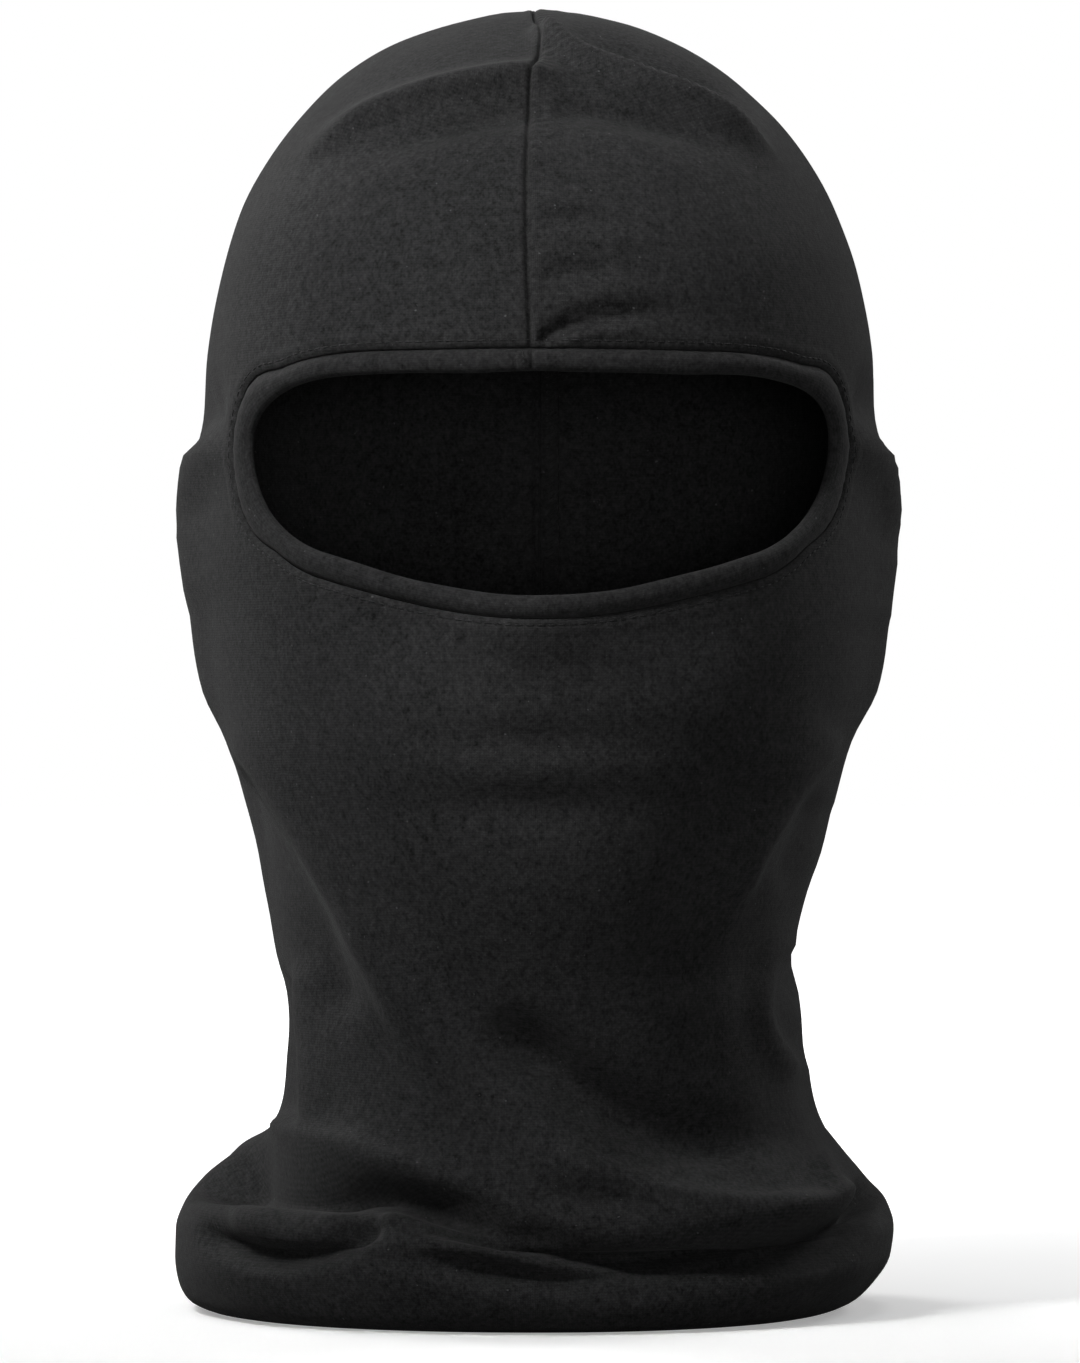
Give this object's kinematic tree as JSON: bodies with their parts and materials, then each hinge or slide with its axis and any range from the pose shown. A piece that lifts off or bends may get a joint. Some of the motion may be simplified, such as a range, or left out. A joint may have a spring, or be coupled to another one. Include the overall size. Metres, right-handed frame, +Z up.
{
  "type": "balaclava",
  "caption": "Full-head stretch jersey balaclava with one banded eye opening, a crown and back seam, and a long neck gathered at its foot.",
  "frame": {"origin": "on the surface that the gathered neck rests on, below the middle of the head", "axes": "+Z up towards the crown, -Y the way the face looks, +X towards the wearer's left ear"},
  "size_m": [0.1706, 0.206, 0.306],
  "materials": {
    "jersey": "matt brushed stretch jersey, charcoal black",
    "band": "matt folded jersey binding, black",
    "thread": "textured polyester thread, black, slight sheen"
  },
  "bodies": {
    "root": {"hood_panel": "jersey", "eye_band": "band", "eye_band_needle_thread": "thread", "eye_band_overlock_thread": "thread", "eye_band_join_thread": "thread", "closing_seam_needle_thread": "thread", "closing_seam_overlock_thread": "thread", "neck_hem_lower_needle_thread": "thread", "neck_hem_upper_needle_thread": "thread", "neck_hem_looper_thread": "thread"}
  },
  "joints": []
}
